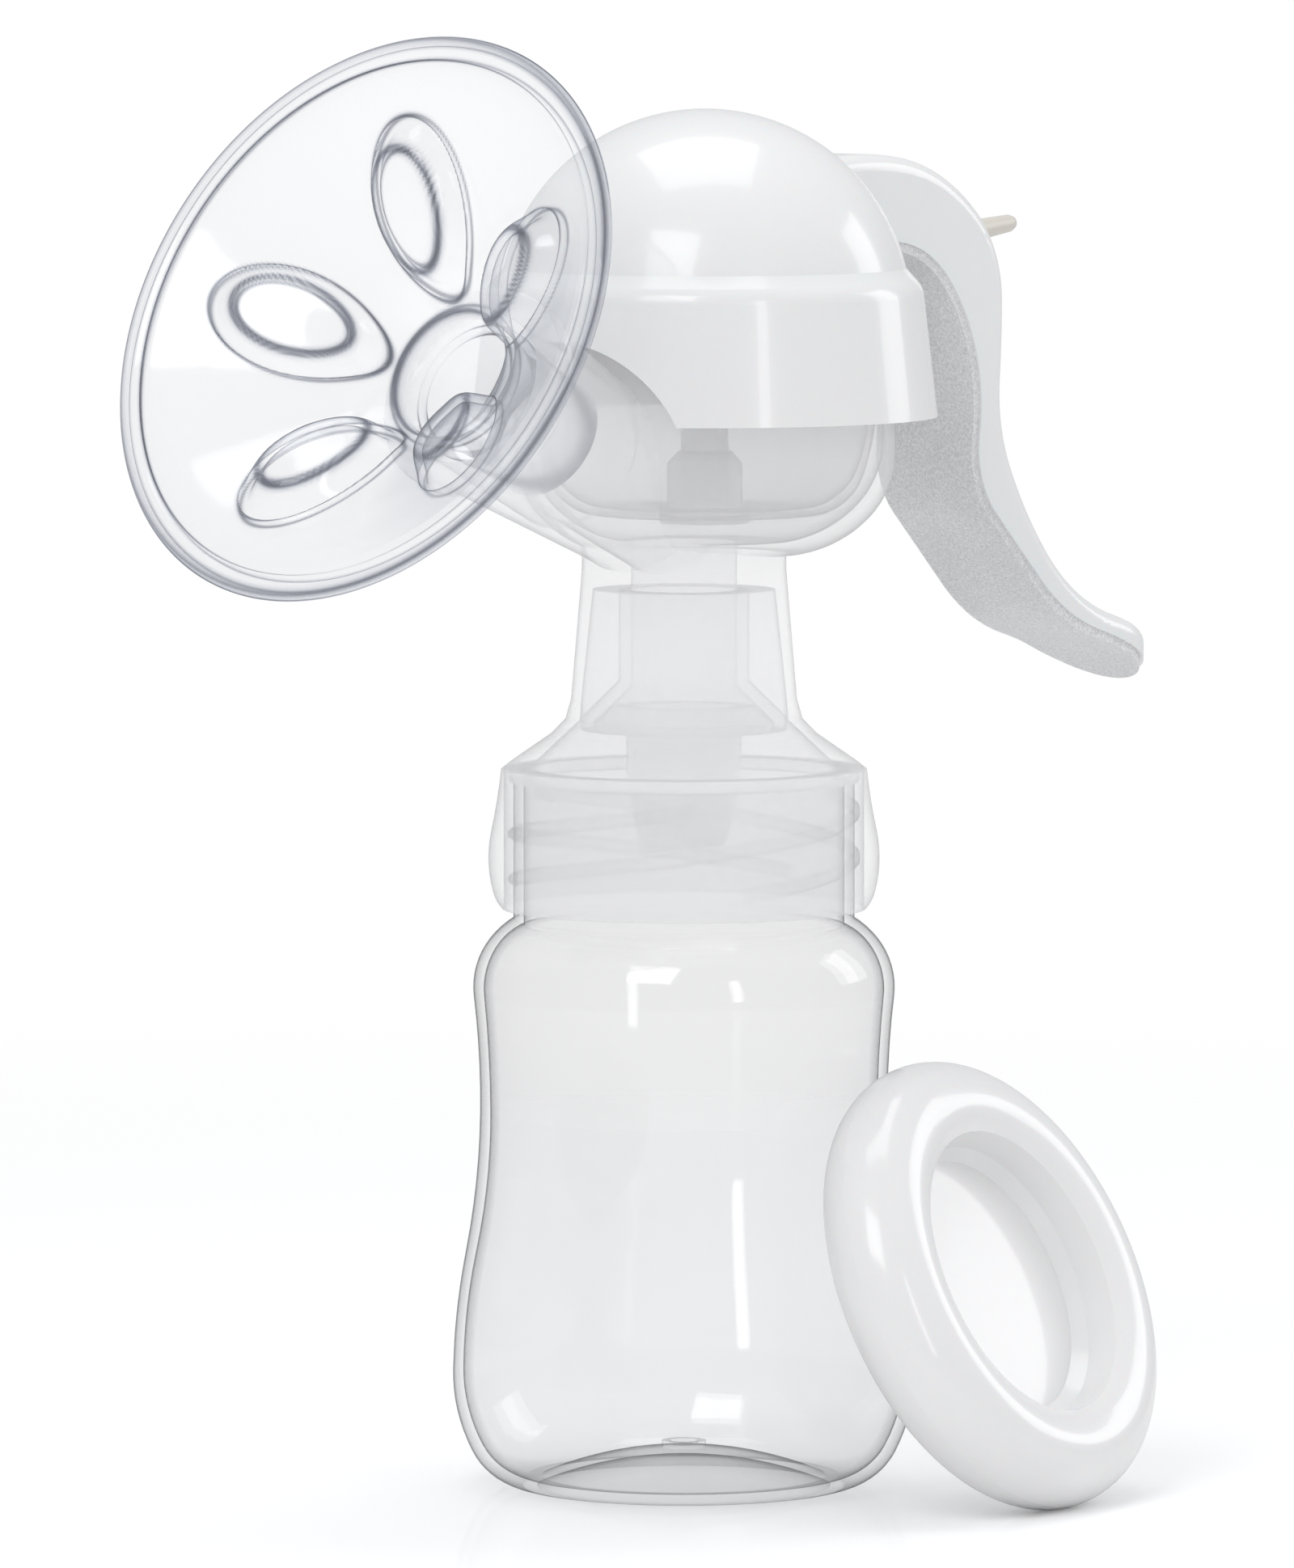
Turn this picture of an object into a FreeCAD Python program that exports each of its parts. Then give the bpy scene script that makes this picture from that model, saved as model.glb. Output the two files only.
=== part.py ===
import FreeCAD, Part
import math
import os

# Manual breast pump with a bottle, a hand lever and a loose bottle stand.
# Millimetres, Z up. The bottle stands on z = 0 with its axis on the Z axis.
# The funnel points along -X and upward, the hand lever hangs on the +X side.

os.makedirs("parts", exist_ok=True)

V = FreeCAD.Vector
Z_AXIS = V(0, 0, 1)
Y_AXIS = V(0, 1, 0)

# Gap between pieces that touch
fit = 0.1

# Bottle sizes
bottle_radius = 33.8
body_height = 83.4
bottle_neck = 24.9
neck_height = 20.0
bottle_wall = 1.5

# Pump body sizes
skirt_radius = 16.5
skirt_height = 31.2
body_wall = 1.8
bowl_radius = 27.9
bowl_depth = 35.4
bowl_offset = 4.7

# Funnel sizes, measured along the funnel axis from the centre of the cushion rim
funnel_tilt = 25.0
cushion_radius = 42.5
cushion_depth = 21.5
cushion_wall = 1.6
rim_roll = 1.3
tunnel_radius = 10.3
petal_count = 5
petal_height = 4.3
petal_turn = 11.5

# Cap, stem and lever sizes
cap_wall = 1.8
stem_radius = 3.5
pin_radius = 2.0
handle_width = 19.0
handle_reach = 79.0
handle_wall = 2.2
arm_thick = 2.9

# Bottle stand sizes
stand_section = 7.7
stand_tilt = 24.5
stand_heading = -82.0
stand_side = -75.0
lean_gap = 0.35

# Levels and places that follow from the sizes
bottle_waist = bottle_radius - 4.0
bottle_shoulder = bottle_radius - 3.1
mouth_bore = bottle_neck - bottle_wall
neck_top = body_height + neck_height
seal_top = neck_top + 1.9
collar_bottom = body_height + 1.5
collar_radius = bottle_neck + 3.3
ceiling = seal_top + fit
bowl_floor = ceiling + skirt_height
bowl_rim = bowl_floor + bowl_depth
dome_radius = bowl_radius + 2.3
dome_centre = bowl_rim - 0.8
cap_skirt = bowl_radius + 6.1
cap_bottom = bowl_rim - 15.4
pivot = V(bowl_offset + bowl_radius - 8.6, 0, bowl_rim + 12.0)
funnel_centre = V(bowl_offset - bowl_radius - 47.8, 0, bowl_rim + 1.7)
stand_radius = bottle_radius + 0.4


def point(r, z):
    return V(r, 0, z)


def sweep(points, heading):
    # Joins points by arcs that run smoothly into each other, starting along heading
    edges = []
    along = V(heading).normalize()
    for a, b in zip(points[:-1], points[1:]):
        chord = b.sub(a)
        length = chord.Length
        chord.normalize()
        turn = math.atan2(along.x * chord.z - along.z * chord.x, along.dot(chord))
        sagitta = length / 2 * math.tan(turn / 2)
        middle = a.add(b).multiply(0.5).add(V(chord.z, 0, -chord.x) * sagitta)
        if abs(sagitta) < 0.01:
            edges.append(Part.makeLine(a, b))
        else:
            edges.append(Part.Arc(a, middle, b).toShape())
        along = chord.multiply(2 * along.dot(chord)).sub(along)
    return edges


def chain(points):
    return [Part.makeLine(a, b) for a, b in zip(points[:-1], points[1:])]


def spin(edges, x=0.0):
    # Turns a closed outline in the XZ plane once around a vertical axis at x
    face = Part.Face(Part.Wire(Part.__sortEdges__(edges)))
    solid = face.revolve(V(0, 0, 0), Z_AXIS, 360)
    solid.translate(V(x, 0, 0))
    return solid


def lathe(pairs, x=0.0):
    points = [point(r, z) for r, z in pairs]
    return spin(chain(points + points[:1]), x)


def rod(radius, length, base, direction):
    return Part.makeCylinder(radius, length, base, direction)


def to_funnel(shape):
    # Local Z runs down the funnel axis from the centre of the cushion rim
    shape.rotate(V(0, 0, 0), Y_AXIS, 90 + funnel_tilt)
    shape.translate(funnel_centre)
    return shape


def save(shape, name):
    shape.exportStep("parts/" + name + ".step")


# Bottle: one blown shell with a foot ring, a pushed-up base and a plain neck
def bottle_side(inset):
    throat = bottle_neck + (bottle_shoulder - bottle_neck) * 0.6
    return [
        point(bottle_radius - 10.3 - inset * 0.5, inset),
        point(bottle_radius - 2.8 - inset, 5.2 + inset * 0.6),
        point(bottle_radius - inset, body_height * 0.21),
        point((bottle_radius + bottle_waist) / 2 + 0.1 - inset, body_height * 0.414),
        point(bottle_waist - inset, body_height * 0.66),
        point(bottle_shoulder - inset, body_height * 0.863),
        point(throat - inset * 0.9, body_height - 3.1 - inset * 0.4),
        point(bottle_neck - inset, body_height - inset * 0.6),
    ]


def bottle_solid(inset, dome, top):
    side = bottle_side(inset)
    foot = point(side[0].x - 2.0, inset)
    rise = dome - inset
    ball = (foot.x * foot.x + rise * rise) / (2 * rise)
    half = foot.x / 2
    crown = point(half, dome - ball + math.sqrt(ball * ball - half * half))
    edges = [Part.Arc(point(0, dome), crown, foot).toShape(), Part.makeLine(foot, side[0])]
    edges += sweep(side, V(1, 0, 0.12))
    edges += chain([side[-1], point(side[-1].x, top), point(0, top), point(0, dome)])
    return spin(edges)


base_rise = 4.2
bottle = bottle_solid(0.0, base_rise, neck_top)
bottle = bottle.cut(bottle_solid(bottle_wall, base_rise + bottle_wall, neck_top + 1))
gate_level = base_rise + bottle_wall
gate = rod(3.2, 1.2, V(0, 0, gate_level - 0.3), Z_AXIS)
gate = gate.cut(rod(2.0, 1.0, V(0, 0, gate_level + 0.3), Z_AXIS))
save(bottle.fuse(gate), "bottle")

# Sealing ring that lies on the bottle mouth inside the collar
bottle_seal = lathe([
    (mouth_bore - 1.6, neck_top + fit), (bottle_neck + 0.6, neck_top + fit),
    (bottle_neck + 0.6, seal_top), (mouth_bore - 1.6, seal_top)])
save(bottle_seal, "bottle_seal")

# Pump body: threaded collar, neck skirt, bowl and funnel tube in one moulding
collar_bore = bottle_neck + 1.4
collar_outer = [
    point(collar_radius - 1.6, collar_bottom), point(collar_radius - 0.3, collar_bottom + 2.4),
    point(collar_radius - 0.1, collar_bottom + 11.5),
    point(collar_radius - 1.5, ceiling - 0.2)]
shoulder = [collar_outer[-1], point(collar_radius - 2.9, ceiling + 0.9),
            point(skirt_radius + 2.9, ceiling + 5.0)]
neck_line = [shoulder[-1], point(skirt_radius + 0.8, ceiling + 7.2),
             point(skirt_radius, ceiling + 10.0), point(skirt_radius - 1.6, bowl_floor - 2.1)]
core_top = bowl_floor + 5.4
outer_edges = sweep(collar_outer, V(0.9, 0, 1)) + chain(shoulder) + chain(neck_line)
outer_edges += chain([
    neck_line[-1], point(neck_line[-1].x, core_top), point(0, core_top),
    point(0, collar_bottom), collar_outer[0]])
body_outer = spin(outer_edges)


def bowl_solid(inset, rim):
    side = [point(bowl_radius - inset, bowl_floor + 14.9 + inset),
            point(bowl_radius - 3.7 - inset, bowl_floor + 5.4 + inset),
            point(bowl_radius - 13.5 - inset, bowl_floor + inset)]
    edges = sweep(side, V(0, 0, -1))
    edges += chain([side[-1], point(0, side[-1].z), point(0, rim), point(side[0].x, rim), side[0]])
    return spin(edges, bowl_offset)


flange_radius = bowl_radius + 2.0
rim_flange = rod(flange_radius, 2.4, V(bowl_offset, 0, bowl_rim - 2.4), Z_AXIS)
tube_mouth = 26.0
tube_bore_radius = tunnel_radius + 1.2
funnel_tube = to_funnel(lathe([
    (0, tube_mouth), (tube_bore_radius + 4.1, tube_mouth), (tube_bore_radius + 4.1, tube_mouth + 3),
    (tube_bore_radius + 2.7, tube_mouth + 4.5), (tube_bore_radius + 0.1, tube_mouth + 38),
    (tube_bore_radius - 0.3, tube_mouth + 54), (0, tube_mouth + 54)]))
tube_bore = to_funnel(lathe([
    (0, tube_mouth - 1), (tube_bore_radius, tube_mouth - 1), (tube_bore_radius, tube_mouth + 25),
    (tube_bore_radius - 2.1, tube_mouth + 27), (tube_bore_radius - 2.5, tube_mouth + 50),
    (0, tube_mouth + 50)]))
behind = Part.makeBox(60, 90, 80, V(bowl_offset - 4, -45, bowl_floor - 10))
funnel_tube = funnel_tube.cut(behind)
pump_body = body_outer.fuse([bowl_solid(0.0, bowl_rim), rim_flange, funnel_tube])

bell_radius = skirt_radius - 1.5
bell_top = ceiling + 6.9
tube_radius = 9.5
tube_top = bowl_floor - 5.1
skirt_space = lathe([
    (0, bell_top), (bell_radius + 0.2, bell_top), (bell_radius, ceiling + 10.0),
    (bell_radius - 1.7, tube_top), (0, tube_top)])
collar_space = lathe([
    (0, collar_bottom - 1), (collar_bore, collar_bottom - 1), (collar_bore, ceiling),
    (mouth_bore - 0.8, ceiling), (bell_radius + 0.2, bell_top + fit), (0, bell_top + fit)])
drain = rod(tube_radius - body_wall, bowl_floor - tube_top + 5, V(0, 0, tube_top - 3), Z_AXIS)
pump_body = pump_body.cut([
    skirt_space, collar_space, drain, tube_bore, bowl_solid(body_wall, bowl_rim + 1)])
save(pump_body, "pump_body")

# Milk tube: the inner tube of the neck with its bell that snaps under the skirt
tube_inner = tube_radius - body_wall
bell_foot = ceiling + 5.6
milk_tube = lathe([
    (tube_inner, tube_top - fit), (tube_radius, tube_top - fit), (tube_radius, bell_foot + 7.2),
    (bell_radius, bell_foot + 1.8), (bell_radius, bell_foot), (bell_radius - body_wall, bell_foot),
    (bell_radius - body_wall, bell_foot + 1.1), (tube_inner, bell_foot + 6.4)])
save(milk_tube, "milk_tube")

# Duckbill valve: a soft flange inside the bell, and a tube whose flattened sides meet in two lips
valve_top = bell_foot - fit
valve_length = 17.4
valve_radius = 8.4


def bill(radius, lip, top, bottom):
    # A round tube between two slanted planes that close in to the lip
    side = [V(0, -radius, top), V(0, radius, top), V(0, lip, bottom), V(0, -lip, bottom)]
    face = Part.Face(Part.makePolygon(side + side[:1]))
    wedge = face.extrude(V(4 * radius, 0, 0))
    wedge.translate(V(-2 * radius, 0, 0))
    return wedge.common(rod(radius, top - bottom, V(0, 0, bottom), Z_AXIS))


flange_outer = bell_radius - body_wall - fit
valve_flange = lathe([
    (0, valve_top), (flange_outer, valve_top), (flange_outer, valve_top + 1.1),
    (flange_outer - 2.6, valve_top + 3.5), (0, valve_top + 3.5)])
valve_foot = valve_top - valve_length
duckbill_valve = valve_flange.fuse(bill(valve_radius, 0.9, valve_top + 1, valve_foot))
duckbill_valve = duckbill_valve.cut([
    bill(valve_radius - 1.2, 0.2, valve_top + 0.5, valve_foot - 0.5),
    rod(valve_radius - 1.2, 5, V(0, 0, valve_top + 0.5), Z_AXIS)])
save(duckbill_valve, "duckbill_valve")


# Silicone cushion: rolled rim, wide cup with raised petals and a ringed tunnel
def cup_point(share, depth_share):
    # Share runs from the tunnel to the rim, depth share from the rim to the tunnel
    inner = tunnel_radius + 0.6
    return point(inner + (cushion_radius - 3.6 - inner) * share, cushion_depth * depth_share)


cup_front = [cup_point(1.0, 0.042), cup_point(0.718, 0.251), cup_point(0.325, 0.586),
             cup_point(0.0, 1.0)]
cup_back = [point(p.x + cushion_wall * 0.35, p.z + cushion_wall) for p in cup_front]
rim_in = cushion_radius - 2 * rim_roll
cup_edges = sweep(cup_front, V(-1, 0, 0.53)) + sweep(cup_back, V(-1, 0, 0.53))
cup_edges += chain([
    cup_front[0], point(rim_in, 0.1), point(cushion_radius - 0.7, 0), point(cushion_radius, 0.7),
    point(cushion_radius, rim_roll + 0.2), point(cushion_radius - 0.7, rim_roll + 0.9),
    point(rim_in, rim_roll + 0.9), cup_back[0]])
cup_edges += chain([cup_front[-1], point(tunnel_radius - 0.4, cushion_depth),
                    point(tunnel_radius - 0.4, cushion_depth + cushion_wall), cup_back[-1]])
cup = spin(cup_edges)
tunnel_outer = tunnel_radius + 1.0
tunnel = lathe([
    (tunnel_radius, cushion_depth), (tunnel_outer, cushion_depth),
    (tunnel_outer, cushion_depth + 22.5), (tunnel_outer - 2.1, cushion_depth + 22.5),
    (tunnel_outer - 2.1, cushion_depth + 12.5), (tunnel_radius - 0.6, cushion_depth + 11.5),
    (tunnel_radius - 0.6, cushion_depth + 6.5), (tunnel_radius, cushion_depth + 5.5)])
cuff_radius = tube_bore_radius + 4.4
cuff = lathe([
    (tunnel_outer - 0.1, cushion_depth + 0.6), (cuff_radius + 1.4, cushion_depth + 0.6),
    (cuff_radius + 1.4, tube_mouth + 7), (cuff_radius, tube_mouth + 7),
    (cuff_radius, tube_mouth - 0.3), (tunnel_outer - 0.1, tube_mouth - 0.3)])

# Each petal is a raised oval with sloped sides and a flat crown, hollow behind
petal_slope = math.degrees(math.atan2(
    cup_front[2].z - cup_front[1].z, cup_front[1].x - cup_front[2].x))
petal_spot = cup_point(0.40, 0.515)
petal_half = (cushion_radius - tunnel_radius) * 0.37
petal_side = petal_half * 0.62


def oval(half_length, half_width, end_radius, z):
    # Two round ends and two long sides, all arcs that run smoothly into each other
    end = half_length - end_radius
    extra = half_width - end_radius
    drop = (end * end - extra * extra) / (2 * extra)
    join = V(end, 0, 0).add(V(end, drop, 0).normalize() * end_radius)
    corners = [V(join.x, join.y, z), V(-join.x, join.y, z), V(-join.x, -join.y, z), V(join.x, -join.y, z)]
    middles = [V(0, half_width, z), V(-half_length, 0, z), V(0, -half_width, z), V(half_length, 0, z)]
    arcs = []
    for i in range(4):
        arcs.append(Part.Arc(corners[i], middles[i], corners[(i + 1) % 4]).toShape())
    return Part.Wire(arcs)


def petal_form(inset, back):
    # The oval grows evenly from its crown in front of the cup to its foot behind it
    crown = oval(petal_half * 0.66 - inset, petal_side * 0.66 - inset,
                 petal_side * 0.42 - inset, inset - petal_height)
    foot = oval(petal_half * 1.12 - inset, petal_side * 1.12 - inset, petal_side * 0.78 - inset, back)
    return Part.makeLoft([crown, foot], True, True)


def petal_place(shape, angle):
    shape.rotate(V(0, 0, 0), Y_AXIS, petal_slope)
    shape.translate(V(petal_spot.x, 0, petal_spot.z))
    shape.rotate(V(0, 0, 0), Z_AXIS, angle)
    return shape


ahead = [point(0, -20), point(cup_back[0].x, -20), cup_back[0]]
ahead_edges = chain(ahead) + sweep(cup_back, V(-1, 0, 0.53))
ahead_edges += chain([cup_back[-1], point(0, cup_back[-1].z), ahead[0]])
front_side = spin(ahead_edges)
petals = []
hollows = []
for i in range(petal_count):
    turn = 180 - petal_turn - 360.0 / petal_count * i
    petals.append(petal_place(petal_form(0.0, 3.5), turn).common(front_side))
    hollows.append(petal_place(petal_form(1.4, 6.0), turn))
cushion = cup.fuse([tunnel, cuff] + petals).cut(hollows)
save(to_funnel(cushion), "cushion")

# Diaphragm: bead clamped on the bowl rim, loose cup wall and a hole in its floor for the socket
floor_level = bowl_floor + 5.6
bowl_bore = bowl_radius - body_wall
socket_radius = stem_radius + 2.0
wall_outer = [point(bowl_bore - 0.9, bowl_rim - 0.5), point(bowl_bore - 1.5, bowl_floor + 16.4),
              point(bowl_bore - 9.6, floor_level)]
wall_inner = [point(p.x - 0.9, p.z + 0.4) for p in wall_outer[:2]]
wall_inner.append(point(bowl_bore - 9.8, floor_level + 1.2))
wall_edges = sweep(wall_outer, V(0, 0, -1)) + sweep(wall_inner, V(0, 0, -1))
wall_edges += chain([wall_outer[0], wall_inner[0]])
wall_edges += chain([
    wall_outer[-1], point(socket_radius + fit, floor_level),
    point(socket_radius + fit, wall_inner[-1].z), wall_inner[-1]])
bead = lathe([
    (bowl_bore - 1.8, bowl_rim - 1.2), (bowl_bore - 0.2, bowl_rim - 1.2),
    (bowl_bore - 0.2, bowl_rim + fit), (flange_radius - 0.3, bowl_rim + fit),
    (flange_radius - 0.3, bowl_rim + 2.2), (bowl_bore - 1.8, bowl_rim + 2.2)], bowl_offset)
save(spin(wall_edges, bowl_offset).fuse(bead), "diaphragm")

# Socket of the diaphragm that grips the foot of the stem
stem_foot = floor_level + 1.9
socket_bore = stem_radius + fit
stem_socket = lathe([
    (0, floor_level - 1.2), (socket_radius + 1.1, floor_level - 1.2),
    (socket_radius + 1.1, floor_level - fit), (socket_radius, floor_level - fit),
    (socket_radius, floor_level + 7.4), (socket_bore + 0.4, floor_level + 9.2),
    (socket_bore, floor_level + 9.2), (socket_bore, stem_foot - fit), (0, stem_foot - fit)],
    bowl_offset)
save(stem_socket, "stem_socket")

# Stem with its foot in the socket and a thinner neck between the arms of the fork
channel_half = handle_width / 2 - handle_wall
arm_gap = channel_half - fit - arm_thick
stem_neck = arm_gap - 1.7
head_level = pivot.z + 3.2
neck_level = pivot.z - 8.0
stem = lathe([
    (0, stem_foot), (stem_radius, stem_foot), (stem_radius, neck_level),
    (stem_neck, neck_level + 1.5), (stem_neck, head_level), (0, head_level)], bowl_offset)
save(stem, "stem")

# Head cap of the stem, lifted by the two arms of the fork
head_radius = arm_gap + arm_thick + 0.4
stem_head = lathe([
    (stem_neck + 0.05, head_level - 1.2), (stem_neck + 1.0, head_level - 1.2),
    (stem_neck + 1.0, head_level - fit), (head_radius, head_level - fit),
    (head_radius, head_level + 1.6), (head_radius - 1.2, head_level + 2.8),
    (0, head_level + 2.8), (0, head_level + fit), (stem_neck + 0.05, head_level + fit)],
    bowl_offset)
save(stem_head, "stem_head")

# Cap: domed cover with a flared skirt, a notch over the funnel and a lever slot
skirt_top = cap_bottom + 18.0


def cap_solid(inset, bottom):
    r = dome_radius - inset
    join_z = dome_centre + 7.0
    join_r = math.sqrt(r * r - 49.0)
    half = math.radians(50)
    dome = Part.Arc(
        point(join_r, join_z),
        point(r * math.cos(half), dome_centre + r * math.sin(half)),
        point(0, dome_centre + r))
    brow = point(cap_skirt - 2.0 - inset, skirt_top - 0.4 - inset * 0.3)
    edges = [dome.toShape()]
    edges += chain([
        point(0, dome_centre + r), point(0, bottom), point(cap_skirt - inset, bottom), brow])
    edges += sweep([
        brow, point(cap_skirt - 3.0 - inset, skirt_top + 1.8 - inset * 0.4),
        point(join_r, join_z)], V(-0.1, 0, 1))
    return spin(edges, bowl_offset)


cap = cap_solid(0.0, cap_bottom).cut(cap_solid(cap_wall, cap_bottom - 1))
ledge = lathe([
    (bowl_radius - 1.5, bowl_rim + 2.3), (cap_skirt - 1.4, bowl_rim + 2.3),
    (cap_skirt - 1.4, bowl_rim + 3.8), (bowl_radius - 1.5, bowl_rim + 3.8)],
    bowl_offset).common(cap_solid(0.6, cap_bottom))
# The lugs stand on both sides of the lever and carry its pin
slot_half = handle_width / 2 + 0.5
lug_thick = 2.6
lugs = [Part.makeBox(16, lug_thick, 30, V(pivot.x - 5.0, y, pivot.z - 5.0))
        for y in (slot_half, -slot_half - lug_thick)]
cap = cap.fuse([ledge] + [lug.common(cap_solid(0.6, cap_bottom)) for lug in lugs])
slot = Part.makeBox(40, 2 * slot_half, 21.8, V(pivot.x - 5.0, -slot_half, pivot.z - 10.6))
notch = rod(tunnel_radius + 10.0, 60, V(-60, 0, cap_bottom - 8.4), V(1, 0, 0))
pin_hole = rod(pin_radius + 0.05, 60, V(pivot.x, -30, pivot.z), Y_AXIS)
tube_way = to_funnel(rod(tube_bore_radius + 2.1, 60, V(0, 0, tube_mouth - 6), Z_AXIS))
cap = cap.cut([slot, notch, tube_way, pin_hole])
save(cap, "cap")


# Hand lever: outline of its back and of its inner side from the root to the tip, from the pivot
def lever_line(pairs):
    return [pivot.add(V(x, 0, z)) for x, z in pairs]


back = lever_line([(0.0, 9.9), (16.0, 9.6), (33.8, 1.3), (39.9, -12.5), (39.4, -24.0),
                   (41.9, -37.0), (50.7, -50.1), (67.0, -60.4), (82.0, -66.9)])
front = lever_line([(0.0, -4.2), (12.0, -2.8), (25.5, -8.2), (32.3, -19.5), (33.2, -32.0),
                    (37.0, -43.7), (48.3, -54.6), (62.5, -62.6), (82.0, -72.1)])
tip_centre = pivot.x + handle_reach - handle_width / 2


def shift(points, distance):
    # Moves each point of a side outline sideways by the same distance
    moved = []
    for i, p in enumerate(points):
        before = points[max(i - 1, 0)]
        after = points[min(i + 1, len(points) - 1)]
        along = after.sub(before).normalize()
        moved.append(p.add(V(along.z, 0, -along.x) * distance))
    return moved


def side_solid(upper, lower, half_width):
    # A bar whose side outline lies between two smooth lines, centred on y = 0
    edges = sweep(upper, V(1, 0, 0.1)) + sweep(lower, V(1, 0, 0.2))
    edges.append(Part.makeLine(upper[0], lower[0]))
    edges.append(Part.makeLine(upper[-1], lower[-1]))
    face = Part.Face(Part.Wire(Part.__sortEdges__(edges)))
    solid = face.extrude(V(0, 2 * half_width, 0))
    solid.translate(V(0, -half_width, 0))
    return solid


def tongue(half_width, start, end):
    # Seen from above, the lever is a strip with a round tip
    low = pivot.z - 94.0
    flat = Part.makeBox(end - start, 2 * half_width, 120, V(start, -half_width, low))
    return flat.fuse(rod(half_width, 120, V(end, 0, low), Z_AXIS))


def on_back(edge):
    # True for the long edges of the back, at both sides and around the tip
    middle = edge.valueAt((edge.FirstParameter + edge.LastParameter) / 2)
    across = min(abs(middle.y), handle_width / 2)
    reach = tip_centre + math.sqrt(handle_width ** 2 / 4 - across ** 2)
    outer = abs(across - handle_width / 2) < 0.01 or abs(middle.x - reach) < 0.01
    gap = min(middle.distanceToPoint(V(p.x, middle.y, p.z)) for p in back_curve)
    return outer and gap < 0.3 and middle.x > pivot.x + 8


lever = side_solid(back, front, handle_width / 2)
lever = lever.common(tongue(handle_width / 2, pivot.x - 14, tip_centre))
back_curve = []
for edge in sweep(back, V(1, 0, 0.1)):
    back_curve += edge.discretize(Distance=0.25)
rounded = [edge for edge in lever.Edges if on_back(edge)]
lever = lever.makeFillet(2.4, rounded)
root = rod(7.6, handle_width, V(pivot.x, -handle_width / 2, pivot.z), Y_AXIS)
lever = lever.fuse(root)
# The lever is a channel, open on its inner side where the pad closes it
channel = side_solid(shift(back[:8], handle_wall), shift(front[:8], 1.5), channel_half)
root_space = rod(9.0, 2 * channel_half, V(pivot.x - 3.0, -channel_half, pivot.z), Y_AXIS)
pin_bore = rod(pin_radius + 0.05, 60, V(pivot.x, -30, pivot.z), Y_AXIS)
peg_spot = pivot.add(V(38.2, 0, -2.8))
peg_line = V(0.98, 0, 0.10).normalize()
peg_foot_radius = 1.95
peg_bore = rod(peg_foot_radius + 0.05, 6, peg_spot.sub(peg_line * 3), peg_line)
handle_shell = lever.cut([channel, root_space, pin_bore, peg_bore])
save(handle_shell, "handle_shell")

# Matte pad along the inner side of the lever
pad_half = handle_width / 2 - 0.4
pad = side_solid(shift(front, -1.0), shift(front, 1.4), pad_half)
pad = pad.common(tongue(pad_half, pivot.x + 11.5, tip_centre - 0.4))
pad = pad.cut(side_solid(back, front, handle_width))
save(pad, "handle_pad")


# Fork: two arms that reach from the lever to the stem, joined by a bridge
def arm(y):
    boss = rod(3.0, arm_thick, V(bowl_offset, y, pivot.z), Y_AXIS)
    hub = rod(4.6, arm_thick, V(pivot.x, y, pivot.z), Y_AXIS)
    beam = Part.makeBox(pivot.x - bowl_offset, arm_thick, 4.8, V(bowl_offset, y, pivot.z - 2.4))
    tail = Part.makeBox(13.0, arm_thick, 4.6, V(pivot.x, y, pivot.z - 0.2))
    return boss.fuse([hub, beam, tail])


bridge = Part.makeBox(2.6, 2 * arm_gap, 4.6, V(pivot.x + 10.4, -arm_gap, pivot.z - 0.2))
fork = arm(arm_gap).fuse([arm(-arm_gap - arm_thick), bridge]).cut(pin_bore)
save(fork, "lift_fork")

# Pin the lever turns on
pin_half = slot_half + lug_thick
pivot_pin = rod(pin_radius, 2 * pin_half, V(pivot.x, -pin_half, pivot.z), Y_AXIS)
save(pivot_pin, "pivot_pin")

# Peg on the back of the lever
peg_length = 16.4
handle_peg = lathe([
    (0, 0), (peg_foot_radius, 0), (1.3, peg_length), (1.0, peg_length + 0.8), (0, peg_length + 1.1)])
handle_peg.rotate(V(0, 0, 0), Y_AXIS, math.degrees(math.atan2(peg_line.x, peg_line.z)))
handle_peg.translate(peg_spot.sub(peg_line * 2.8))
save(handle_peg, "handle_peg")

# Bottle stand: a fat ring with a recess that takes the foot of the bottle
ring_radius = stand_radius - stand_section
ring = Part.makeTorus(ring_radius, stand_section)
floor_disc = lathe([(0, -2.6), (ring_radius, -2.6), (ring_radius, -0.4), (0, -0.4)])
recess = lathe([
    (0, -0.4), (ring_radius - 7.2, -0.4), (ring_radius - 5.6, 1.6), (ring_radius - 4.4, 8.6),
    (0, 8.6)])
stand = ring.fuse(floor_disc).cut(recess)
stand.rotate(V(0, 0, 0), Y_AXIS, 90 - stand_tilt)
stand.rotate(V(0, 0, 0), Z_AXIS, stand_heading)
lean = math.radians(stand_tilt)
heading = math.radians(stand_heading)
stand_height = ring_radius * math.cos(lean) + stand_section
side_way = V(math.cos(math.radians(stand_side)), math.sin(math.radians(stand_side)), 0)
ring_up = V(-math.sin(lean) * math.cos(heading), -math.sin(lean) * math.sin(heading), math.cos(lean))
ring_across = V(-math.sin(heading), math.cos(heading), 0)


def bottle_at(z):
    side = bottle_side(0.0)
    for low, high in zip(side[:-1], side[1:]):
        if low.z <= z <= high.z:
            return low.x + (high.x - low.x) * (z - low.z) / (high.z - low.z)
    return bottle_neck


def stand_space(distance):
    # Least gap between the stand's ring and the bottle at this distance from the axis
    centre = side_way * distance + V(0, 0, stand_height)
    least = 1000.0
    for i in range(180):
        a = math.radians(2 * i)
        p = centre + ring_up * (ring_radius * math.cos(a)) + ring_across * (ring_radius * math.sin(a))
        least = min(least, math.hypot(p.x, p.y) - bottle_at(p.z) - stand_section)
    return least


near = 20.0
far = 120.0
for i in range(40):
    middle = (near + far) / 2
    if stand_space(middle) < lean_gap:
        near = middle
    else:
        far = middle
stand.translate(side_way * far + V(0, 0, stand_height))
save(stand, "bottle_stand")
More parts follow.
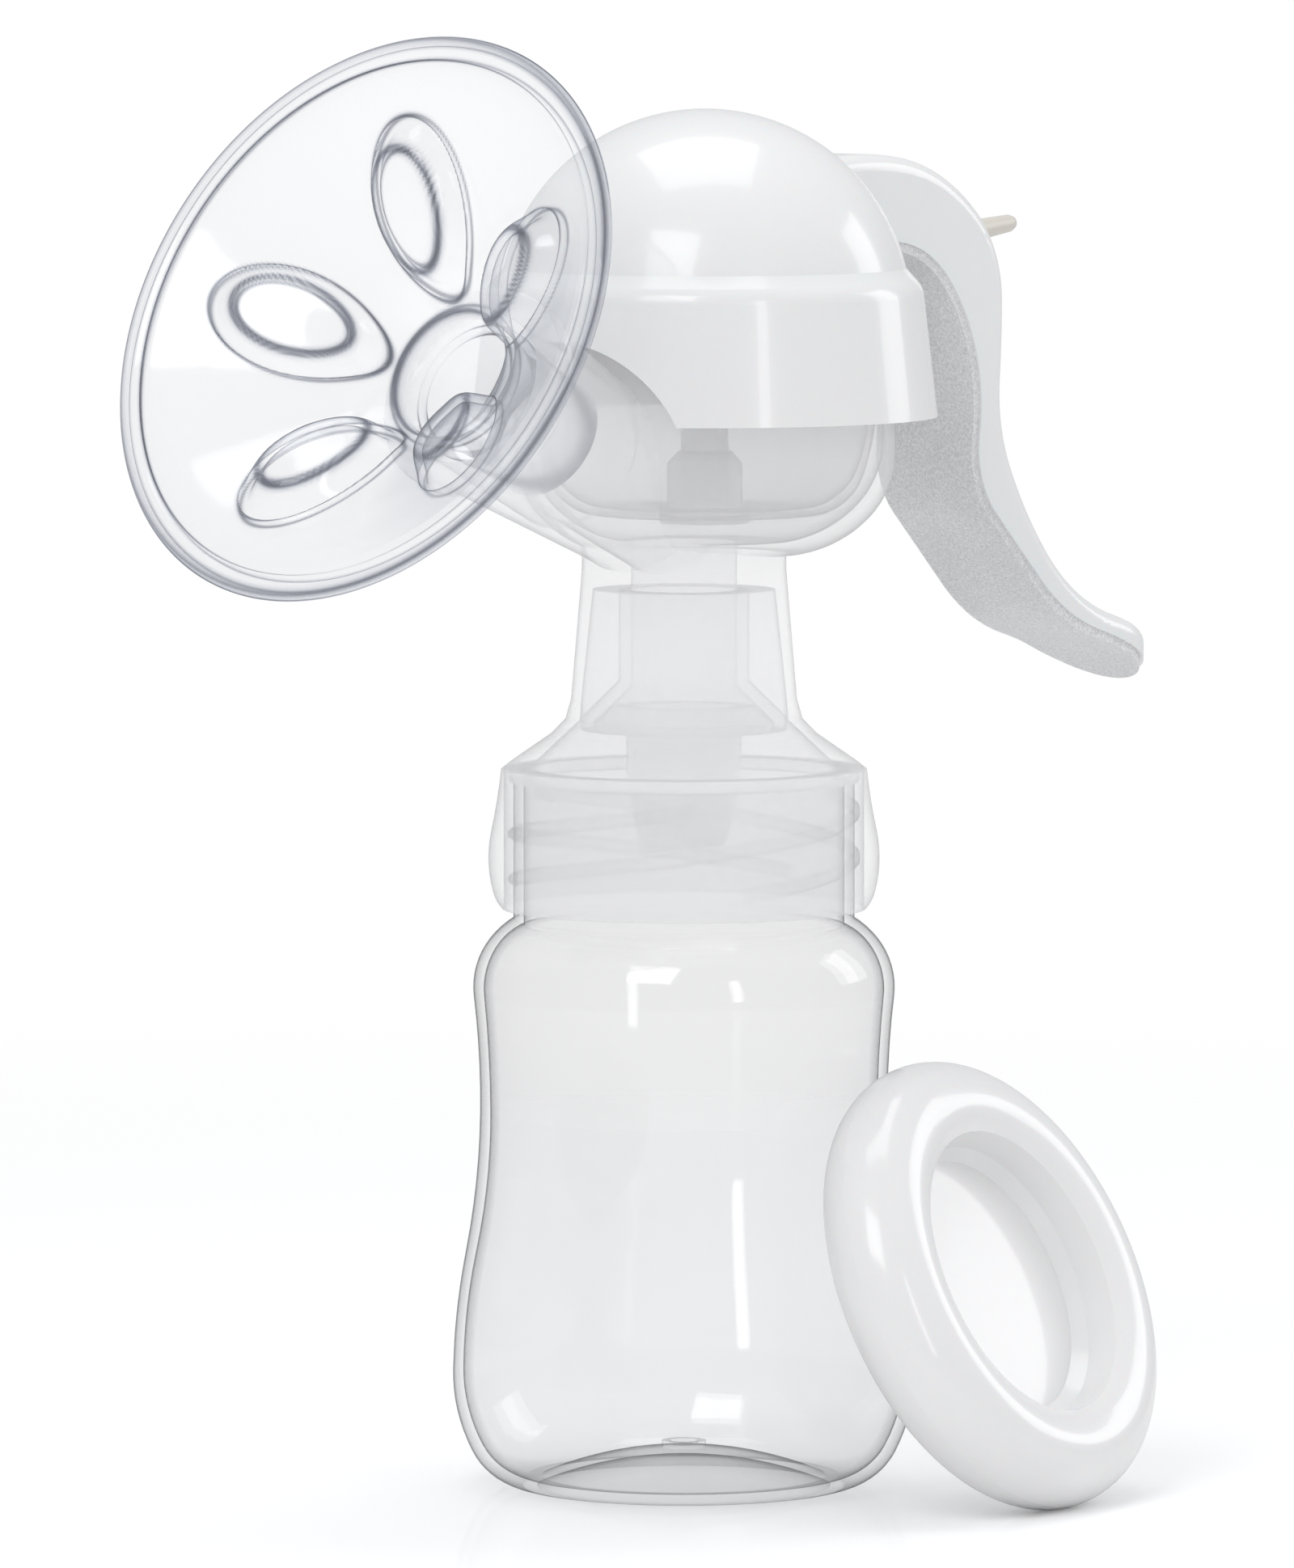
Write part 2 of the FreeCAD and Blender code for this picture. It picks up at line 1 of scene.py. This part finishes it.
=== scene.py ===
import bpy
import math
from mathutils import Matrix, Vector


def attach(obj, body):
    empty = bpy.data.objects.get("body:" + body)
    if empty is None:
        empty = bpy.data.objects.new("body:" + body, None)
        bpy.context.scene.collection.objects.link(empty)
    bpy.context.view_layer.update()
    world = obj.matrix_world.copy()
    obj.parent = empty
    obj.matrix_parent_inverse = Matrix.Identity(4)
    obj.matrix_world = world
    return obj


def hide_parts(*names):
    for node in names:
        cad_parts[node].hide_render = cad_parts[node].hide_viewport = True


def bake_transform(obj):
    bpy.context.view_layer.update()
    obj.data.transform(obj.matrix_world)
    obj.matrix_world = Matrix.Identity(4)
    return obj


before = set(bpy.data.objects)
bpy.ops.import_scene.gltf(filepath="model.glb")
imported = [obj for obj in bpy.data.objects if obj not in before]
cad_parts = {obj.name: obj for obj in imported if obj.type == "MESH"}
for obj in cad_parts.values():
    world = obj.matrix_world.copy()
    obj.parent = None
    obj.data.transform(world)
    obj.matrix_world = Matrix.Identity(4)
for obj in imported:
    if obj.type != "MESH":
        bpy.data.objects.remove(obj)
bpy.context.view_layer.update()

# The pump: bottle on the floor, funnel to -X, lever to +X, stand leaning on the -Y side
FUNNEL_TILT = math.radians(25.0)
RIM_CENTRE = Vector((-0.071, 0.0, 0.1737))
BOWL_X = 0.0047

# Petals of the cushion, in millimetres: place on the cup and size of each raised oval
PETAL_COUNT = 5
PETAL_TURN = 11.5
PETAL_RADIUS = 22.6
PETAL_LENGTH = 12.6
PETAL_WIDTH = 7.6
PETAL_RISE = 4.3
CUSHION_WALL = 0.0013

# Thread on the bottle neck, in metres
THREAD_STARTS = 3
THREAD_TURNS = 0.62
THREAD_LEAD = 0.020
THREAD_FOOT = 0.0885
THREAD_ROOT = 0.0247
THREAD_DEPTH = 0.0010


# Camera at the photograph's angle
def add_camera():
    turn = math.radians(-50.0)
    aim_height, camera_height = 0.103, 0.263
    distance = 2.0
    right = Vector((math.cos(turn), math.sin(turn), 0.0))
    back = Vector((math.sin(turn), -math.cos(turn), 0.0))
    middle = right * -0.0054
    aim = middle + Vector((0.0, 0.0, aim_height))
    place = middle + back * distance + Vector((0.0, 0.0, camera_height))
    data = bpy.data.cameras.new("camera")
    data.sensor_fit = "HORIZONTAL"
    data.sensor_width = 36.0
    data.lens = 382.5
    data.clip_start = 0.05
    data.clip_end = 20.0
    camera = bpy.data.objects.new("camera", data)
    bpy.context.scene.collection.objects.link(camera)
    camera.location = place
    camera.rotation_euler = (aim - place).to_track_quat("-Z", "Y").to_euler()
    bpy.context.scene.camera = camera


# Materials
class Nodes:
    def __init__(self, name):
        self.material = bpy.data.materials.new(name)
        self.material.use_nodes = True
        self.tree = self.material.node_tree
        self.tree.nodes.clear()
        self.out = self.add("ShaderNodeOutputMaterial")

    def add(self, kind, **inputs):
        node = self.tree.nodes.new(kind)
        for key, value in inputs.items():
            node.inputs[key.replace("_", " ")].default_value = value
        return node

    def link(self, a, out, b, into):
        self.tree.links.new(a.outputs[out], b.inputs[into])

    def ramp(self, source, out, stops):
        ramp = self.add("ShaderNodeValToRGB")
        elements = ramp.color_ramp.elements
        while len(elements) < len(stops):
            elements.new(0.5)
        for element, (place, colour) in zip(elements, stops):
            element.position = place
            element.color = (*colour, 1.0)
        self.link(source, out, ramp, "Fac")
        return ramp

    def multiply(self, a, a_out, b, b_out):
        mix = self.add("ShaderNodeMix")
        mix.data_type = "RGBA"
        mix.blend_type = "MULTIPLY"
        mix.inputs[0].default_value = 1.0
        self.link(a, a_out, mix, 6)
        self.link(b, b_out, mix, 7)
        return mix

    def power(self, source, out, exponent):
        node = self.add("ShaderNodeMath")
        node.operation = "POWER"
        node.inputs[1].default_value = exponent
        self.link(source, out, node, 0)
        return node

    def noise_bump(self, scale, distance, strength=1.0, detail=3.0):
        place = self.add("ShaderNodeTexCoord")
        noise = self.add("ShaderNodeTexNoise", Scale=scale, Detail=detail)
        self.link(place, "Object", noise, "Vector")
        bump = self.add("ShaderNodeBump", Strength=strength, Distance=distance)
        self.link(noise, "Fac", bump, "Height")
        return bump

    def finish(self, shader, out="BSDF"):
        self.link(shader, out, self.out, "Surface")
        return self.material


def clear_material(name, stops, gloss, roughness, ripple, milk=0.0, line=None):
    # Thin clear wall: light passes, the wall darkens towards its edges as painted shade, the surface
    # shines.
    # Where the mesh carries its edge attribute, it darkens to the line colour: painted shade lines
    # along the cushion's rim rolls and petal edges
    n = Nodes(name)
    weight = n.add("ShaderNodeLayerWeight", Blend=0.5)
    ramp = n.ramp(weight, "Facing", stops)
    bump = n.noise_bump(ripple, 0.0002, 0.35)
    clear = n.add("ShaderNodeBsdfTransparent")
    if line:
        mark = n.add("ShaderNodeAttribute")
        mark.attribute_name = "painted_edge_shade"
        shade = n.ramp(mark, "Fac", [(0.0, (1.0, 1.0, 1.0)), (0.5, (0.80, 0.81, 0.84)), (1.0, line)])
        ramp = n.multiply(ramp, "Color", shade, "Color")
        n.link(ramp, 2, clear, "Color")
    else:
        n.link(ramp, "Color", clear, "Color")
    shine = n.add("ShaderNodeBsdfGlossy", Roughness=roughness)
    shine.inputs["Color"].default_value = (*gloss, 1.0)
    n.link(bump, "Normal", shine, "Normal")
    steep = n.power(weight, "Facing", 4.0)
    strength = n.ramp(steep, "Value", [(0.0, (0.04,) * 3), (1.0, (0.22,) * 3)])
    cloud = n.add("ShaderNodeBsdfTranslucent")
    cloud.inputs["Color"].default_value = (0.95, 0.955, 0.96, 1.0)
    body = n.add("ShaderNodeMixShader")
    body.inputs[0].default_value = milk
    n.link(clear, "BSDF", body, 1)
    n.link(cloud, "BSDF", body, 2)
    mix = n.add("ShaderNodeMixShader")
    n.link(strength, "Color", mix, 0)
    n.link(body, "Shader", mix, 1)
    n.link(shine, "BSDF", mix, 2)
    return n.finish(mix, "Shader")


def frosted_material(name, colour, passing, edge, roughness):
    # Milky plastic: part of the light passes straight, the rest scatters in the wall
    n = Nodes(name)
    bump = n.noise_bump(900.0, 0.00003, 0.5)
    body = n.add("ShaderNodeBsdfPrincipled", Roughness=roughness, IOR=1.49)
    body.inputs["Base Color"].default_value = (*colour, 1.0)
    n.link(bump, "Normal", body, "Normal")
    weight = n.add("ShaderNodeLayerWeight", Blend=0.4)
    # Painted shade: the scattered light darkens towards the edges, to 0.62 of the colour
    steep = tuple(0.62 * c for c in colour)
    shade = n.ramp(weight, "Facing", [(0.0, colour), (0.60, colour), (0.95, steep)])
    glow = n.add("ShaderNodeBsdfTranslucent")
    n.link(shade, "Color", glow, "Color")
    milk = n.add("ShaderNodeMixShader")
    milk.inputs[0].default_value = 0.75
    n.link(body, "BSDF", milk, 1)
    n.link(glow, "BSDF", milk, 2)
    ramp = n.ramp(weight, "Facing", [(0.0, (passing,) * 3), (0.6, (passing * 0.92,) * 3),
                                     (1.0, (edge,) * 3)])
    clear = n.add("ShaderNodeBsdfTransparent")
    clear.inputs["Color"].default_value = (0.99, 0.99, 0.992, 1.0)
    mix = n.add("ShaderNodeMixShader")
    n.link(ramp, "Color", mix, 0)
    n.link(milk, "Shader", mix, 1)
    n.link(clear, "BSDF", mix, 2)
    return n.finish(mix, "Shader")


def gloss_material(name, colour, roughness, coat, wave=14.0):
    # Moulded gloss plastic with slight sink marks and faint uneven shine
    n = Nodes(name)
    bump = n.noise_bump(wave, 0.0012, 0.10, 1.0)
    fine = n.add("ShaderNodeTexNoise", Scale=260.0, Detail=4.0)
    rough = n.ramp(fine, "Fac", [(0.3, (roughness * 0.8,) * 3), (0.7, (roughness * 1.2,) * 3)])
    body = n.add("ShaderNodeBsdfPrincipled", IOR=1.48)
    body.inputs["Base Color"].default_value = (*colour, 1.0)
    body.inputs["Coat Weight"].default_value = coat
    body.inputs["Coat Roughness"].default_value = 0.05
    body.inputs["Subsurface Weight"].default_value = 0.15
    body.inputs["Subsurface Scale"].default_value = 0.004
    n.link(rough, "Color", body, "Roughness")
    n.link(bump, "Normal", body, "Normal")
    return n.finish(body)


def grain_material(name, light, dark):
    # Matte pad with a fine sprayed grain
    n = Nodes(name)
    place = n.add("ShaderNodeTexCoord")
    grain = n.add("ShaderNodeTexNoise", Scale=2600.0, Detail=3.0, Roughness=0.7)
    n.link(place, "Object", grain, "Vector")
    cloud = n.add("ShaderNodeTexNoise", Scale=70.0, Detail=2.0)
    n.link(place, "Object", cloud, "Vector")
    colour = n.ramp(grain, "Fac", [(0.35, dark), (0.65, light)])
    blot = n.ramp(cloud, "Fac", [(0.3, (0.93, 0.93, 0.93)), (0.7, (1.0, 1.0, 1.0))])
    mix = n.multiply(colour, "Color", blot, "Color")
    bump = n.add("ShaderNodeBump", Strength=0.6, Distance=0.0001)
    n.link(grain, "Fac", bump, "Height")
    body = n.add("ShaderNodeBsdfPrincipled", Roughness=0.7)
    n.link(mix, 2, body, "Base Color")
    n.link(bump, "Normal", body, "Normal")
    return n.finish(body)


# For the clear walls the passing colour falls to a painted shade at the edges, the last colours of
# each list
BOTTLE = clear_material("clear_bottle", [
    (0.0, (0.968, 0.968, 0.969)), (0.68, (0.955, 0.955, 0.957)), (0.85, (0.78, 0.78, 0.785)),
    (1.0, (0.14, 0.145, 0.15))], (0.9, 0.9, 0.9), 0.05, 45.0)
THREAD = clear_material("clear_thread", [
    (0.0, (0.96, 0.96, 0.962)), (0.60, (0.90, 0.90, 0.903)), (1.0, (0.55, 0.555, 0.56))],
    (0.9, 0.9, 0.9), 0.15, 45.0)
# The cushion's silicone: its last colour is the painted shade of the lines along the rims and petal
# edges
SILICONE = clear_material("clear_silicone", [
    (0.0, (0.995, 0.996, 0.998)), (0.60, (0.985, 0.987, 0.99)), (0.80, (0.80, 0.81, 0.84)),
    (0.92, (0.26, 0.28, 0.33)), (1.0, (0.04, 0.05, 0.09))], (0.9, 0.92, 0.95), 0.08, 60.0, 0.15,
    (0.13, 0.14, 0.19))
FROSTED = frosted_material("frosted_plastic", (0.99, 0.99, 0.99), 0.74, 0.12, 0.30)
SOFT_WHITE = frosted_material("soft_white", (0.98, 0.98, 0.98), 0.30, 0.05, 0.45)
SOFT_CLEAR = frosted_material("soft_clear", (0.98, 0.98, 0.98), 0.84, 0.10, 0.40)
WHITE = gloss_material("white_gloss", (0.85, 0.85, 0.85), 0.22, 0.4)
GREY = grain_material("grey_grain", (0.86, 0.86, 0.87), (0.62, 0.62, 0.63))
CREAM = gloss_material("cream_plastic", (0.66, 0.64, 0.58), 0.35, 0.1)


def paint(name, material):
    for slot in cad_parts[name].material_slots:
        slot.link = "OBJECT"
        slot.material = material


NODE_MATERIALS = {
    "bottle": BOTTLE, "bottle_seal": SOFT_WHITE, "pump_body": FROSTED, "milk_tube": FROSTED,
    "duckbill_valve": SOFT_WHITE, "diaphragm": SOFT_WHITE, "stem_socket": SOFT_WHITE,
    "stem": WHITE, "stem_head": WHITE, "cap": WHITE, "handle_shell": WHITE, "handle_pad": GREY,
    "lift_fork": WHITE, "pivot_pin": WHITE, "handle_peg": CREAM, "bottle_stand": WHITE,
    "cushion": SILICONE}
for node_name, node_material in NODE_MATERIALS.items():
    paint(node_name, node_material)


def add_mesh(name, points, faces, material, smooth=True):
    mesh = bpy.data.meshes.new(name)
    mesh.from_pydata(points, [], faces)
    mesh.materials.append(material)
    for polygon in mesh.polygons:
        polygon.use_smooth = smooth
    mesh.update()
    piece = bpy.data.objects.new(name, mesh)
    bpy.context.scene.collection.objects.link(piece)
    return piece


def funnel_point(r, angle, s):
    # r from the funnel axis, angle round it from the top, s down the axis from the rim
    up = Vector((math.sin(FUNNEL_TILT), 0.0, math.cos(FUNNEL_TILT)))
    down = Vector((math.cos(FUNNEL_TILT), 0.0, -math.sin(FUNNEL_TILT)))
    across = Vector((0.0, 1.0, 0.0))
    return RIM_CENTRE + down * s + up * (r * math.cos(angle)) + across * (r * math.sin(angle))


def smooth_step(low, high, x):
    t = min(max((x - low) / (high - low), 0.0), 1.0)
    return t * t * (3.0 - 2.0 * t)


def line_at(profile, t):
    # Point on a smooth line through the profile's points, t from 0 to 1
    spans = len(profile) - 1
    place = min(t * spans, spans - 1e-9)
    i = int(place)
    f = place - i
    p = [profile[max(min(i + k, spans), 0)] for k in (-1, 0, 1, 2)]
    return tuple(
        0.5 * (2 * b + (c - a) * f + (2 * a - 5 * b + 4 * c - d) * f * f
               + (3 * b - a - 3 * c + d) * f ** 3)
        for a, b, c, d in zip(*p))


def petal_oval(x, y):
    # 0 at a petal's middle, 1 at its foot, x along the cup's slope
    return math.sqrt((x / PETAL_LENGTH) ** 2 + (y / PETAL_WIDTH) ** 2)


def petal_height(q):
    # Raised oval with sloped sides and a slightly domed crown
    dome = 0.35 * (1.0 - smooth_step(0.0, 0.75, q))
    return PETAL_RISE * (1.0 - smooth_step(0.62, 1.0, q)) + dome


def near(value, places, width):
    # 1 at any of the places, falling to 0 at the width from it
    return max(1.0 - smooth_step(0.0, width, abs(value - place)) for place in places)


def cushion_rows():
    # Rim, cup and tunnel as rows of (radius, depth, whether the petals rise from it)
    rim = [(42.4, 0.9), (42.0, 0.35), (41.3, 0.1), (40.6, 0.35), (40.2, 0.9), (39.6, 1.0)]
    cup = [(38.9, 0.9), (35.2, 2.9), (31.0, 5.4), (25.7, 8.7), (20.0, 12.6), (15.0, 16.6),
           (10.9, 21.5)]
    tunnel = [(10.5, 22.6), (10.3, 24.0), (9.75, 24.2), (9.75, 26.4), (10.2, 26.8), (10.2, 29.0),
              (9.7, 29.4), (9.7, 33.0), (9.3, 34.0), (9.3, 43.9)]
    cup_steps = 90
    rows = [(r, s, False) for r, s in rim]
    rows += [(*line_at(cup, i / cup_steps), True) for i in range(cup_steps + 1)]
    rows += [(r, s, False) for r, s in tunnel]
    return rows


def petals_at(r, angle, slope):
    # Height of the petals at this place of the cup, and how near their edges are, for the painted
    # shade lines along them
    rise, mark = 0.0, 0.0
    for p in range(PETAL_COUNT):
        centre = math.radians(PETAL_TURN + 360.0 / PETAL_COUNT * p)
        turn = (angle - centre + math.pi) % (2 * math.pi) - math.pi
        if abs(turn) < 1.0:
            x = (r * math.cos(turn) - PETAL_RADIUS) / math.cos(slope)
            q = petal_oval(x, r * math.sin(turn))
            rise = max(rise, petal_height(q))
            mark = max(mark, near(q, (0.66, 1.02), 0.075))
    return rise, mark


def add_cushion():
    # Rim, cup and tunnel as one skin in millimetres, given its wall by Solidify
    rows = cushion_rows()
    around = 420
    slope = math.atan2(12.6 - 5.4, 31.0 - 20.0)
    points = []
    marks = []
    for r, s, petals in rows:
        on_rim = r > 39.0 and not petals
        # Painted shade lines along the rim's rolls, where the cup meets the tunnel and along the
        # petals' edges; each point keeps its share in the edge attribute
        row_mark = near(r, (42.1, 40.1), 0.45) if on_rim else near(r, (10.9,), 0.5)
        for k in range(around):
            angle = 2 * math.pi * k / around
            rise, mark = petals_at(r, angle, slope) if petals else (0.0, 0.0)
            marks.append(max(row_mark, mark))
            points.append(funnel_point((r - rise * math.sin(slope)) / 1000.0, angle,
                                       (s - rise * math.cos(slope)) / 1000.0))
    faces = []
    for i in range(len(rows) - 1):
        for k in range(around):
            j = (k + 1) % around
            faces.append((i * around + k, i * around + j, (i + 1) * around + j,
                          (i + 1) * around + k))
    piece = add_mesh("petal_cushion", points, faces, SILICONE)
    edge = piece.data.attributes.new("painted_edge_shade", "FLOAT", "POINT")
    edge.data.foreach_set("value", marks)
    wall = piece.modifiers.new("wall", "SOLIDIFY")
    wall.thickness = CUSHION_WALL
    wall.offset = 1.0
    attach(piece, "cushion")
    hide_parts("cushion")


def add_lathe(name, outline, centre, material, around=160):
    # Turns a closed outline of (radius, height) in metres once around a vertical axis
    points, faces = [], []
    count = len(outline)
    for k in range(around):
        angle = 2 * math.pi * k / around
        for r, z in outline:
            points.append((centre + r * math.cos(angle), r * math.sin(angle), z))
    for k in range(around):
        j = (k + 1) % around
        for i in range(count):
            m = (i + 1) % count
            faces.append((k * count + i, k * count + m, j * count + m, j * count + i))
    return add_mesh(name, points, faces, material)


def add_diaphragm():
    # Soft cup in the bowl: bead on the rim, thin wall curving down to a floor round the stem
    outer = [(25.2, 171.2), (25.25, 166.0), (25.1, 160.0), (24.6, 153.6), (22.6, 146.6),
             (19.0, 143.0), (15.0, 142.15), (10.0, 142.2), (5.65, 142.2)]
    inner = [(5.65, 143.4), (10.0, 143.4), (15.0, 143.35), (18.3, 144.3), (21.7, 147.6),
             (23.7, 153.9), (24.2, 160.0), (24.35, 166.0), (24.3, 171.5)]
    outline = []
    for profile in (outer, inner):
        for i in range(33):
            outline.append(line_at(profile, i / 32.0))
    bead = [(24.3, 174.1), (29.5, 174.1), (29.5, 172.15), (25.8, 172.15), (25.8, 171.0)]
    outline = [(r / 1000.0, z / 1000.0) for r, z in outline + bead]
    piece = add_lathe("soft_diaphragm", outline, BOWL_X, SOFT_CLEAR)
    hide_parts("diaphragm")
    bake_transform(piece)


def add_thread():
    # Ridges of a trapezium section that fade out at both ends
    section = ((0.0, -0.0011), (THREAD_DEPTH, -0.0004), (THREAD_DEPTH, 0.0004), (0.0, 0.0011))
    steps = 90
    for start in range(THREAD_STARTS):
        points, faces = [], []
        for i in range(steps + 1):
            t = i / steps
            angle = 2 * math.pi * (THREAD_TURNS * t + start / THREAD_STARTS)
            z = THREAD_FOOT + THREAD_LEAD * THREAD_TURNS * t
            fade = smooth_step(0.0, 0.06, t) * smooth_step(0.0, 0.06, 1.0 - t)
            for height, dz in section:
                r = THREAD_ROOT + height * fade
                points.append((r * math.cos(angle), r * math.sin(angle), z + dz))
        for i in range(steps):
            for k in range(3):
                a = i * 4 + k
                faces.append((a, a + 1, a + 5, a + 4))
        piece = add_mesh("neck_thread_%d" % start, points, faces, THREAD)
        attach(piece, "bottle")


# Studio: pale floor that fades into a white backdrop
def add_floor():
    fade_near, fade_far = 0.22, 0.75
    lift_level, polish_share = 0.19, 0.15
    half = 1.5
    n = Nodes("floor")
    place = n.add("ShaderNodeTexCoord")
    length = n.add("ShaderNodeVectorMath")
    length.operation = "LENGTH"
    n.link(place, "Object", length, 0)
    fade = n.add("ShaderNodeMapRange")
    fade.interpolation_type = "SMOOTHSTEP"
    fade.inputs["From Min"].default_value = fade_near
    fade.inputs["From Max"].default_value = fade_far
    n.link(length, "Value", fade, "Value")
    surface = n.add("ShaderNodeBsdfDiffuse")
    surface.inputs["Color"].default_value = (0.96, 0.96, 0.96, 1.0)
    shine = n.add("ShaderNodeBsdfGlossy", Roughness=0.06)
    # Lifts the lit floor to the white of the backdrop where the camera sees it
    path = n.add("ShaderNodeLightPath")
    lift = n.add("ShaderNodeEmission")
    n.link(path, "Is Camera Ray", lift, "Strength")
    lift.inputs["Color"].default_value = (lift_level, lift_level, lift_level, 1.0)
    ground = n.add("ShaderNodeAddShader")
    n.link(surface, "BSDF", ground, 0)
    n.link(lift, "Emission", ground, 1)
    polish = n.add("ShaderNodeMixShader")
    polish.inputs[0].default_value = polish_share
    n.link(ground, "Shader", polish, 1)
    n.link(shine, "BSDF", polish, 2)
    clear = n.add("ShaderNodeBsdfTransparent")
    mix = n.add("ShaderNodeMixShader")
    n.link(fade, "Result", mix, 0)
    n.link(polish, "Shader", mix, 1)
    n.link(clear, "BSDF", mix, 2)
    material = n.finish(mix, "Shader")
    points = [(-half, -half, 0.0), (half, -half, 0.0), (half, half, 0.0), (-half, half, 0.0)]
    floor = add_mesh("floor", points, [(0, 1, 2, 3)], material, False)


def add_world():
    # White where the camera looks, also through clear walls, and a softer room that lights the pump
    room_level = 0.66
    world = bpy.data.worlds.new("studio")
    bpy.context.scene.world = world
    world.use_nodes = True
    tree = world.node_tree
    tree.nodes.clear()
    out = tree.nodes.new("ShaderNodeOutputWorld")
    path = tree.nodes.new("ShaderNodeLightPath")
    seen = tree.nodes.new("ShaderNodeBackground")
    seen.inputs["Color"].default_value = (1.0, 1.0, 1.0, 1.0)
    seen.inputs["Strength"].default_value = 1.0
    room = tree.nodes.new("ShaderNodeBackground")
    room.inputs["Color"].default_value = (0.97, 0.98, 1.0, 1.0)
    room.inputs["Strength"].default_value = room_level
    mix = tree.nodes.new("ShaderNodeMixShader")
    either = tree.nodes.new("ShaderNodeMath")
    either.operation = "MAXIMUM"
    tree.links.new(path.outputs["Is Camera Ray"], either.inputs[0])
    tree.links.new(path.outputs["Is Transmission Ray"], either.inputs[1])
    tree.links.new(either.outputs[0], mix.inputs[0])
    tree.links.new(room.outputs[0], mix.inputs[1])
    tree.links.new(seen.outputs[0], mix.inputs[2])
    tree.links.new(mix.outputs[0], out.inputs["Surface"])


def add_lamp(name, place, aim, size, power):
    data = bpy.data.lights.new(name, "AREA")
    data.shape = "RECTANGLE"
    data.size, data.size_y = size
    data.energy = power
    lamp = bpy.data.objects.new(name, data)
    bpy.context.scene.collection.objects.link(lamp)
    lamp.location = place
    lamp.rotation_euler = (Vector(aim) - Vector(place)).to_track_quat("-Z", "Y").to_euler()


def add_lamps():
    add_lamp("key", (-0.75, -0.25, 0.75), (0.0, 0.0, 0.12), (0.45, 0.45), 2.2)
    add_lamp("front", (-0.35, -0.95, 0.35), (0.0, 0.0, 0.12), (0.10, 0.55), 0.6)
    add_lamp("side", (0.85, -0.45, 0.45), (0.0, 0.0, 0.12), (0.35, 0.5), 1.2)
    add_lamp("top", (0.1, 0.1, 1.0), (0.0, 0.0, 0.1), (0.6, 0.6), 2.1)


add_camera()
add_cushion()
add_diaphragm()
add_thread()
add_floor()
add_world()
add_lamps()
bpy.context.scene.view_settings.view_transform = "Standard"
bpy.context.scene.cycles.transparent_max_bounces = 32
